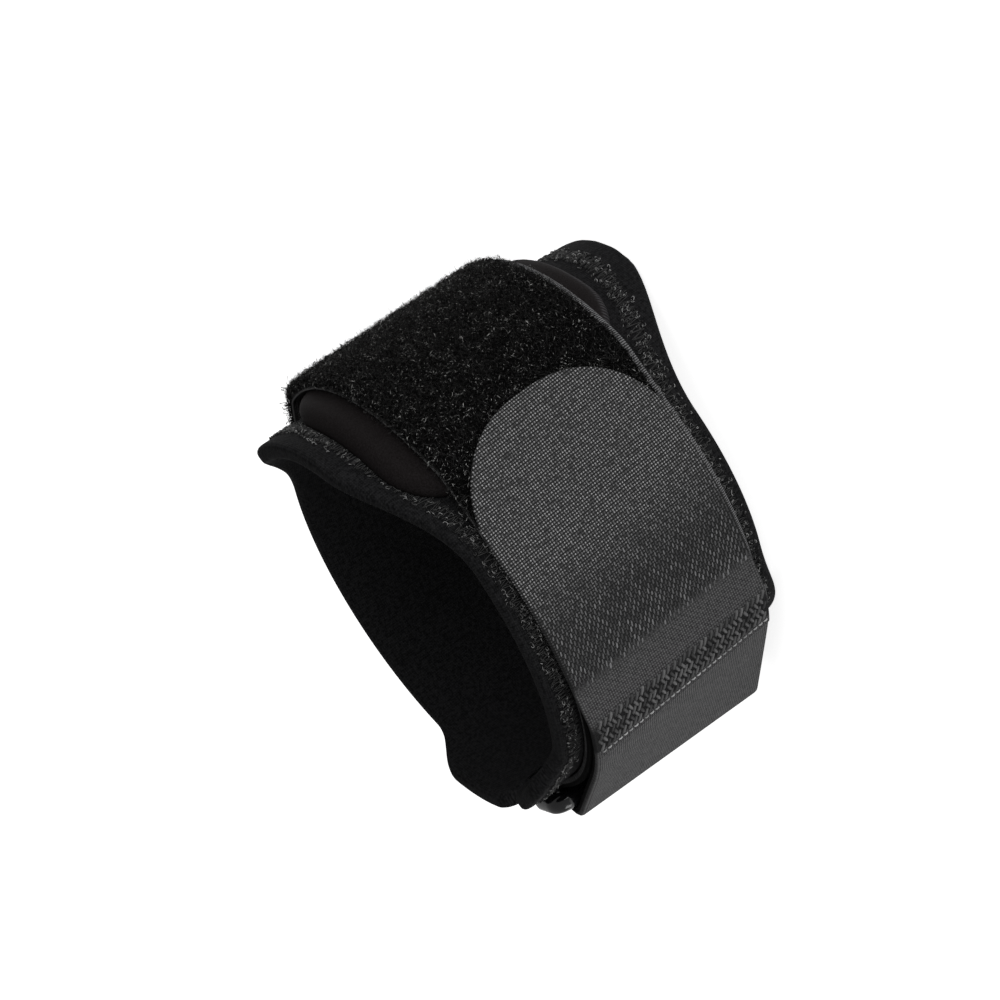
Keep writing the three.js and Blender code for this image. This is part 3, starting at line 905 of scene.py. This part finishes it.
def keeper_cloth(material):
    stations = np.linspace(0, keeper_line.total, KEEPER_STATIONS)
    halves = np.full(len(stations), KEEPER_WIDTH / 2)
    sizes = (KEEPER_THICKNESS, THIN_EDGE_ROUND, KEEPER_COLUMNS)
    course = (keeper_line, stations, halves)
    return strip_mesh("keeper_cloth", *course, *sizes, "webbing", material, "ring_keeper")


def ring_section():
    """Half widths and heights of the ring's bar round its rounded square section."""
    turn = np.linspace(0, 2 * math.pi, RING_SIDES + 1)[:-1]
    wide = RING_BAR / 2 * np.sign(np.cos(turn)) * np.abs(np.cos(turn)) ** RING_SQUARE
    high = RING_BAR / 2 * np.sign(np.sin(turn)) * np.abs(np.sin(turn)) ** RING_SQUARE
    return wide, high


def ring_gloss(material):
    half_pitch = RING_PITCH / 2
    half_length = STRAP_WIDTH / 2 + RING_SIDE_CLEARANCE + RING_BAR / 2
    corner = RING_CORNER * RING_BAR
    wide, high = ring_section()
    rows = []
    for side_x, side_y, start in ((1, 1, 0), (-1, 1, 90), (-1, -1, 180), (1, -1, 270)):
        for turn in np.radians(np.linspace(start, start + 90, RING_TURN_POINTS)):
            x = side_x * (half_pitch - corner) + math.cos(turn) * (corner + wide)
            y = side_y * (half_length - corner) + math.sin(turn) * (corner + wide)
            rows.append(np.stack([x, y, high], axis=-1))
    flat = np.concatenate(rows)
    out = polar(1, RING_ANGLE)
    along = np.array([out[1], -out[0]])
    plan = polar(RING_RADIUS, RING_ANGLE) + flat[:, 2:3] * out + flat[:, 0:1] * along
    vertices = place(np.concatenate([plan, flat[:, 1:2] + float(drift(RING_ANGLE))], axis=1))
    faces = facing_out(vertices, loft_faces(len(rows), RING_SIDES, loop=True))
    return mesh_object("ring_gloss", vertices, faces, material, ["strap_ring"])


def under_tab(along, across):
    """Whether a place on the strap's outer face lies under the tab or past its round end."""
    past_tip = along - TAB_TIP_ALONG
    half = TAB_WIDTH / 2 - corner_inset(np.maximum(past_tip, 0), TAB_CORNER)
    return (past_tip > 0) & (np.abs(across - TAB_SHIFT) < half + 0.15)


def over_edge(across, height):
    """The strap's outer face, carried on round its elbow edge and down its side."""
    flat_end = STRAP_WIDTH / 2 - PILE_ROUND
    beyond = np.maximum(across - flat_end, 0)
    turn = np.minimum(beyond / PILE_ROUND, math.pi / 2)
    down = np.maximum(beyond - PILE_ROUND * math.pi / 2, 0)
    reach = PILE_ROUND + height
    aside = np.where(beyond > 0, flat_end + reach * np.sin(turn), across)
    high = STRAP_THICKNESS / 2 - PILE_ROUND + reach * np.cos(turn) - down
    return aside, high


def pile_roots(rng, count, margin):
    """Random places on the strap's open face, a margin in from its wrist edge."""
    along = rng.uniform(PILE_START, PILE_END, count)
    across = rng.uniform(-STRAP_WIDTH / 2 + margin, STRAP_WIDTH / 2 + PILE_ROUND, count)
    keep = ~under_tab(along, across)
    return along[keep], across[keep]


def pile_fibres(name, material, seed):
    """Small open loops of fibre that lean every way on the strap's outer face."""
    rng = np.random.default_rng(seed)
    along, across = pile_roots(rng, PILE_COUNT, SELVEDGE - PILE_OVERLAP)
    count = len(along)
    clump = np.sin(along * 2.1 + 3 * np.sin(across * 1.3)) * np.sin(across * 2.3 + 2 * np.sin(along * 0.9))
    patch = np.sin(along * 0.7 + 2 * np.sin(across * 0.45))
    patch = patch * np.sin(across * 0.8 + 2 * np.sin(along * 0.33))
    radius = rng.uniform(*PILE_RADIUS, count)
    lift = PILE_LIFT[0] + PILE_LIFT[1] * rng.uniform(0, 1, count) + PILE_CLUMP * clump
    stands = rng.uniform(0, 1, count) < PILE_STRAY
    radius = np.where(stands, radius * PILE_STRAY_GROWTH, radius)
    lift = np.where(stands, lift + PILE_STRAY_LIFT, lift)
    turn = rng.uniform(0, 2 * math.pi, count)
    tilt = rng.uniform(-1.2, 1.2, count)
    first = rng.uniform(-1.2, 0.2, count)
    sweep = rng.uniform(2.2, 4.4, count)
    wide = rng.uniform(*PILE_WIDTH, count) / 2
    # Place along each loop of its painted highlight
    glint_spot = rng.uniform(0.15, 0.85, count)
    tint = rng.uniform(0, 1, count) * (0.985 + 0.135 * patch)
    left, right, tints = [], [], []
    for s in np.linspace(0, 1, PILE_POINTS):
        angle = first + sweep * s
        aside, up = radius * np.cos(angle), radius * np.sin(angle)
        a = along + aside * np.cos(turn) - up * np.sin(turn) * np.sin(tilt)
        c = across + aside * np.sin(turn) + up * np.cos(turn) * np.sin(tilt)
        h = np.maximum(lift + up * np.cos(tilt), -0.1)
        da, dc = wide * np.sin(turn) * np.cos(tilt), -wide * np.cos(turn) * np.cos(tilt)
        dh = wide * np.sin(tilt)
        left.append(strap_line.points(a + da, *over_edge(c + dc, h + dh)))
        right.append(strap_line.points(a - da, *over_edge(c - dc, h - dh)))
        # Painted highlight: each loop is lighter near one point along it
        tints.append(tint * (0.7 + 0.3 * np.exp(-(((s - glint_spot) / 0.25) ** 2))))
    return ribbons(name, material, left, right, tints)


def ribbons(name, material, left, right, tints):
    """Narrow strips of pile between the points of their left and right edges."""
    pairs = np.stack([np.stack(left), np.stack(right)], axis=2).transpose(1, 0, 2, 3)
    count, steps = pairs.shape[:2]
    start = (np.arange(count) * steps * 2)[:, None]
    spans = [start + np.array([[2 * k, 2 * k + 1, 2 * k + 3, 2 * k + 2]]) for k in range(steps - 1)]
    faces = np.concatenate(spans).tolist()
    tint = np.repeat(np.stack(tints, axis=1).ravel(), 2)
    vertices = place(pairs.reshape(-1, 3))
    return mesh_object(name, vertices, faces, material, attributes={"tint": tint})


def pile_fuzz(name, material, seed):
    """Long thin hairs that stand out of the pile."""
    rng = np.random.default_rng(seed)
    along, across = pile_roots(rng, FUZZ_COUNT, SELVEDGE)
    count = len(along)
    length = rng.uniform(*FUZZ_LENGTH, count) + FUZZ_EXTRA * rng.uniform(0, 1, count) ** 3
    turn = rng.uniform(0, 2 * math.pi, count)
    tilt = rng.uniform(0.1, 1.1, count)
    bend = rng.uniform(-0.9, 0.9, count)
    left, right, tints = [], [], []
    for s in np.linspace(0, 1, FUZZ_POINTS):
        lean = tilt + bend * s
        a = along + length * s * np.sin(lean) * np.cos(turn)
        c = across + length * s * np.sin(lean) * np.sin(turn)
        h = FUZZ_ROOT + length * s * np.cos(lean)
        da, dc = FUZZ_HALF_WIDTH * np.sin(turn), -FUZZ_HALF_WIDTH * np.cos(turn)
        left.append(strap_line.points(a + da, *over_edge(c + dc, h)))
        right.append(strap_line.points(a - da, *over_edge(c - dc, h)))
        tints.append(np.full(count, FUZZ_TINT))
    return ribbons(name, material, left, right, tints)


def strap_binding(material):
    """Thin pale line of the strap's backing under the pile of its elbow edge."""
    along = np.linspace(PILE_START, PILE_END + 20, BINDING_POINTS)
    across = np.full(len(along), STRAP_WIDTH / 2 + 0.1)
    height = np.full(len(along), -STRAP_THICKNESS / 2 + 0.25)
    route = strap_line.points(along, across, height)[None]
    return tubes("strap_binding", route, BINDING_RADIUS, material, np.array([0.35]))


def tubes(name, routes, radius, material, tint):
    """Round threads, one along each route; routes is an array of runs, points and coordinates."""
    step = np.gradient(routes, axis=1)
    step /= np.linalg.norm(step, axis=2, keepdims=True)
    radial = routes * np.array([1, 1, 0])
    radial /= np.linalg.norm(radial, axis=2, keepdims=True)
    aside = np.cross(step, radial)
    aside /= np.maximum(np.linalg.norm(aside, axis=2, keepdims=True), 1e-6)
    up = np.cross(aside, step)
    turns = np.arange(THREAD_SIDES) * 2 * math.pi / THREAD_SIDES
    rings = [routes + radius * (math.cos(t) * aside + math.sin(t) * up) for t in turns]
    points = np.stack(rings, axis=2)
    count, steps = routes.shape[:2]
    start = (np.arange(count) * steps * THREAD_SIDES)[:, None]
    last = (steps - 1) * THREAD_SIDES
    faces = [start + np.array([[3, 2, 1, 0]]), start + last + np.array([[0, 1, 2, 3]])]
    for i in range(steps - 1):
        for j in range(THREAD_SIDES):
            k = (j + 1) % THREAD_SIDES
            corners = np.array([[j, k, k + THREAD_SIDES, j + THREAD_SIDES]])
            faces.append(start + i * THREAD_SIDES + corners)
    faces = np.concatenate(faces).tolist()
    attributes = {"tint": np.repeat(tint, steps * THREAD_SIDES)}
    return mesh_object(name, place(points.reshape(-1, 3)), faces, material, attributes=attributes)


def dashes(line, along, across, length, crosswise, height, rise=STITCH_RISE, slant=0.0):
    """Routes of straight stitches that dip into the cloth at both ends."""
    s = np.linspace(-0.5, 0.5, DASH_POINTS)[None, :]
    a = along[:, None] + (slant if crosswise else length) * s
    c = across[:, None] + (length if crosswise else slant) * s
    h = height + np.sign(height) * (rise * np.sqrt(1 - (1.96 * s) ** 2) - STITCH_DIP)
    points = line.points(a.ravel(), c.ravel(), np.broadcast_to(h, a.shape).ravel())
    return points.reshape(*a.shape, 3)


def tab_stitches(material):
    across = np.arange(-TAB_WIDTH / 2 + 1.5, TAB_WIDTH / 2 - 1, DASH_PITCH)
    along = np.full(len(across), tab_line.total - DASH_TO_END)
    rng = np.random.default_rng(5)
    routes = dashes(tab_line, along, across, DASH_LENGTH, True, TAB_THICKNESS / 2, 0.25)
    tint = rng.uniform(0.3, 1, len(along))
    return tubes("tab_stitches", routes, DASH_RADIUS, material, tint)


def tab_rows(material):
    """Rows of thick slanted stitches that sew the tab down."""
    rng = np.random.default_rng(6)
    routes = []
    for middle, phase, slant in ZIGZAG_ROWS:
        across = np.arange(-TAB_WIDTH / 2 + 1.3 + phase * DASH_PITCH, TAB_WIDTH / 2 - 1.2, DASH_PITCH)
        across = across + rng.uniform(-0.2, 0.2, len(across))
        row = ZIGZAG_START + middle * (ZIGZAG_END - ZIGZAG_START)
        along = row + rng.uniform(-0.25, 0.25, len(across))
        routes.append(dashes(tab_line, along, across, ZIGZAG_DASH, False, TAB_THICKNESS / 2, 0.2, slant))
    routes = np.concatenate(routes)
    tint = rng.uniform(0.08, 0.6, len(routes))
    return tubes("tab_rows", routes, ZIGZAG_RADIUS, material, tint)


def triangle(value):
    """A zigzag between -1 and 1 with a pitch of 1."""
    return 4 * np.abs(value - np.floor(value + 0.5)) - 1


def tab_floats(material):
    """The warp's floats, staggered from column to column and longer towards the sewn end."""
    columns = np.arange(-TAB_WIDTH / 2 + 0.9, TAB_WIDTH / 2 - 0.8, WARP_PITCH)
    picks = np.arange(0.9, CANVAS_START, WEFT_PITCH * 3)
    c, a = np.meshgrid(columns, picks)
    a = a + np.where(np.arange(len(columns)) % 2 == 0, 0, 1.5 * WEFT_PITCH)[None, :]
    a, c = a.ravel(), c.ravel()
    keep = np.abs(c) < TAB_WIDTH / 2 - corner_inset(a, TAB_CORNER) - 0.6
    keep = keep & (a < CANVAS_START)
    a, c = a[keep], c[keep]
    rng = np.random.default_rng(8)
    growth = np.clip((a - (CANVAS_START - FLOAT_GROWTH)) / FLOAT_GROWTH, 0, 1)
    length = (FLOAT_LENGTH[0] + FLOAT_LENGTH[1] * growth) * rng.uniform(0.8, 1.2, len(a))
    width = (FLOAT_WIDTH[0] + FLOAT_WIDTH[1] * growth) * rng.uniform(0.75, 1.15, len(a))
    rise = FLOAT_RISE[0] + FLOAT_RISE[1] * growth * (1 - growth)
    slant = FLOAT_SLANT * growth
    points = []
    for u, v, w in FLOAT_POINTS:
        along = a + u * length
        across = c + v * width + slant * u
        points.append(tab_line.points(along, across, TAB_THICKNESS / 2 - FLOAT_SINK + w * rise))
    points = np.stack(points, axis=1)
    start = (np.arange(len(a)) * len(FLOAT_POINTS))[:, None]
    faces = []
    for face in FLOAT_FACES:
        faces += (start + np.array([face])).tolist()
    vertices = place(points.reshape(-1, 3))
    attributes = {"tint": np.repeat(rng.uniform(0, 1, len(a)) ** 1.5, len(FLOAT_POINTS))}
    return mesh_object("tab_floats", vertices, faces, material, attributes=attributes)


def rim_place(rim, arc, inward, height):
    """A place on the band's face, by its length round the arm and its distance in from a rim."""
    angle = np.degrees(arc / FACE_RADIUS)
    z = wrist_rim(angle) + inward if rim == "wrist" else elbow_rim(angle) - inward
    return base_point(angle, z, BASE_THICKNESS + height)


def row_middle(rim, arc):
    """How far in from a rim the middle of its row of threads lies."""
    angle = np.degrees(arc / FACE_RADIUS)
    return RIM_ROW_MIDDLE + RIM_ROW_SHIFT * rim_swell(rim, angle)


def rim_arcs(count):
    """Lengths round the arm from one end of the band to the other."""
    seam = RING_ANGLE - BAR_TURN
    angles = np.linspace(seam - 360 + RIM_END_ANGLE, seam - RIM_END_ANGLE, count)
    return np.radians(angles) * FACE_RADIUS


def rim_threads(rim, material, seed):
    """Loose zigzag threads along a rim."""
    rng = np.random.default_rng(seed)
    arc = rim_arcs(RIM_ARC_POINTS)
    routes = []
    for pitch, reach, phase in RIM_ZIGZAGS:
        wobble = np.interp(arc, arc[::40], rng.uniform(-0.6, 0.6, len(arc[::40])))
        wave = triangle(arc / pitch + phase + 0.3 * wobble)
        side = np.interp(arc, arc[::12], rng.uniform(-0.5, 0.5, len(arc[::12])))
        inward = row_middle(rim, arc) + reach * (1 + 0.2 * wobble) * wave * 0.9 + 0.3 * side
        height = 0.1 + 0.12 * (1 - wave**2)
        routes.append(rim_place(rim, arc + 0.35 * side, inward, height))
    tint = rng.uniform(0.04, 0.14, len(routes))
    return tubes(f"threads_{rim}", np.stack(routes), RIM_THREAD_RADIUS, material, tint)


def rim_curls(rim, material, seed):
    """Curled ends of thread on the row of stitches."""
    rng = np.random.default_rng(seed)
    count = CURL_COUNT
    seam_start, _, seam_end = rim_arcs(3)
    arc = rng.uniform(seam_start, seam_end, count)
    angle = np.degrees(arc / FACE_RADIUS)
    spread = rng.uniform(-1, 1, count) * CURL_SPREAD
    inward = np.minimum(row_middle(rim, arc) + spread, BASE_MARGIN + rim_swell(rim, angle) - CURL_EDGE)
    radius = rng.uniform(*CURL_RADIUS, count)[:, None]
    first = rng.uniform(0, 2 * math.pi, count)[:, None]
    sweep = rng.uniform(2.0, 4.6, count)[:, None] * rng.choice([-1, 1], count)[:, None]
    s = np.linspace(0, 1, CURL_POINTS)[None, :]
    turn = first + sweep * s
    squash = rng.uniform(0.5, 1.0, count)[:, None]
    a = arc[:, None] + radius * np.cos(turn)
    i = inward[:, None] + radius * np.sin(turn) * squash
    h = 0.12 + rng.uniform(0.1, 0.45, count)[:, None] * np.sin(math.pi * s)
    routes = rim_place(rim, a.ravel(), i.ravel(), h.ravel()).reshape(*a.shape, 3)
    # A few curls take the light thread colour: partly light thread, partly painted highlights
    tint = rng.uniform(0, 1, count) ** 3
    return tubes(f"curls_{rim}", routes, CURL_THREAD_RADIUS, material, tint)


def sewn_row(line, along, width, height, rise):
    across = np.arange(-width / 2 + 3, width / 2 - 2, SEWN_PITCH)
    return dashes(line, np.full(len(across), along), across, SEWN_LENGTH, True, height, rise)


def sewn_stitches(material):
    """Rows across the strap's sewn end, and across the keeper's."""
    rng = np.random.default_rng(12)
    routes = []
    for along in (2.0, 5.0, STRAP_SEWN_LENGTH - 6):
        routes.append(sewn_row(strap_line, along, STRAP_WIDTH, STRAP_THICKNESS / 2, 0.9))
    for from_end in (2.5, 6.5):
        along = keeper_line.total - from_end
        routes.append(sewn_row(keeper_line, along, KEEPER_WIDTH, -KEEPER_THICKNESS / 2, STITCH_RISE))
    routes = np.concatenate(routes)
    tint = rng.uniform(0, 0.4, len(routes))
    return tubes("sewn_stitches", routes, SEWN_RADIUS, material, tint)


# Stage

# The photograph's view, in degrees and millimetres, round a point near the band's middle
VIEW_ELEVATION = 16.894
VIEW_AZIMUTH = 3.858
VIEW_ROLL = -117.275
VIEW_DISTANCE = 877.6
VIEW_TARGET = (8.43, 0.12, 2.25)
VIEW_LENS_PER_WIDTH = 4.0
SENSOR_WIDTH = 36
FLOOR_GLOW = 0.78
WORLD_GLOW = 0.4
FRONT_POWER = 9
SIDE_POWER = 3
LIGHT_TARGET = (0, 0, 0.04)
FLOOR_RADIUS = 6.0
FLOOR_SIDES = 96
FLOOR_DROP = 0.0002


def make_camera():
    camera = bpy.data.cameras.new("camera")
    camera.sensor_width = SENSOR_WIDTH
    camera.lens = VIEW_LENS_PER_WIDTH * SENSOR_WIDTH
    obj = bpy.data.objects.new("camera", camera)
    turn = Matrix.Rotation(-math.radians(VIEW_AZIMUTH), 3, "Z")
    turn = turn @ Matrix.Rotation(math.radians(90 - VIEW_ELEVATION), 3, "X")
    turn = turn @ Matrix.Rotation(math.radians(VIEW_ROLL), 3, "Z")
    target = Vector((np.array(VIEW_TARGET) + SHIFT) / MM_PER_M)
    stand = target + turn @ Vector((0, 0, VIEW_DISTANCE / MM_PER_M))
    obj.matrix_world = Matrix.Translation(stand) @ turn.to_4x4()
    bpy.context.scene.collection.objects.link(obj)
    bpy.context.scene.camera = obj


def area_light(name, location, size, power):
    light = bpy.data.lights.new(name, "AREA")
    light.energy = power
    light.size = size
    obj = bpy.data.objects.new(name, light)
    obj.location = location
    obj.rotation_mode = "QUATERNION"
    obj.rotation_quaternion = (Vector(LIGHT_TARGET) - Vector(location)).to_track_quat("-Z", "Y")
    bpy.context.scene.collection.objects.link(obj)


def floor_material():
    """A white light table."""
    shade = Shade("light_table", 0.9)
    cloud = shade.noise(400)
    shade.shader.inputs["Emission Color"].default_value = (1, 1, 1, 1)
    shade.shader.inputs["Emission Strength"].default_value = FLOOR_GLOW
    return shade.finish(shade.mix(cloud, FLOOR_DARK, FLOOR_LIGHT))


def make_floor():
    rows = []
    for turn in np.linspace(0, 2 * math.pi, FLOOR_SIDES + 1)[:-1]:
        rows.append((FLOOR_RADIUS * math.cos(turn), FLOOR_RADIUS * math.sin(turn), -FLOOR_DROP))
    mesh = bpy.data.meshes.new("floor")
    mesh.from_pydata(rows, [], [tuple(range(len(rows)))])
    mesh.materials.append(floor_material())
    floor = bpy.data.objects.new("floor", mesh)
    bpy.context.scene.collection.objects.link(floor)


def make_light():
    world = bpy.data.worlds.new("studio")
    world.use_nodes = True
    world.node_tree.nodes["Background"].inputs["Color"].default_value = (1, 1, 1, 1)
    world.node_tree.nodes["Background"].inputs["Strength"].default_value = WORLD_GLOW
    bpy.context.scene.world = world
    bpy.context.scene.view_settings.view_transform = "Standard"
    area_light("front", (0.45, -1.1, 0.3), 0.7, FRONT_POWER)
    area_light("side", (-1.0, -0.3, 0.2), 0.5, SIDE_POWER)


thread = thread_material("rim_thread", THREAD_DARK, THREAD_LIGHT_AND_GLINT)
stitch = thread_material("stitch_thread", STITCH_DARK, STITCH_LIGHT)
floats = thread_material("warp_float", FLOAT_DARK, FLOAT_LIGHT)
fibre = fibre_material()
neoprene = neoprene_material()

base_cloth(neoprene)
pad_cloth(pad_material())
strap_cloth(strap_material())
for seed, name in enumerate(("pile_a", "pile_b", "pile_c", "pile_d")):
    pile_fibres(name, fibre, 11 + seed)
pile_fuzz("pile_fuzz", fibre, 17)
strap_binding(thread_material("binding_thread", CANVAS_DARK, CANVAS_LIGHT))
tab_cloth(tape_material())
tab_floats(floats)
tab_rows(thread_material("row_thread", CANVAS_DARK, CANVAS_LIGHT))
tab_stitches(stitch)
for seed, rim in enumerate(("wrist", "elbow")):
    rim_threads(rim, thread, 21 + seed)
    rim_curls(rim, thread, 31 + seed)
keeper_cloth(webbing_material())
sewn_stitches(stitch)
ring_gloss(gloss_material())

make_camera()
make_floor()
make_light()
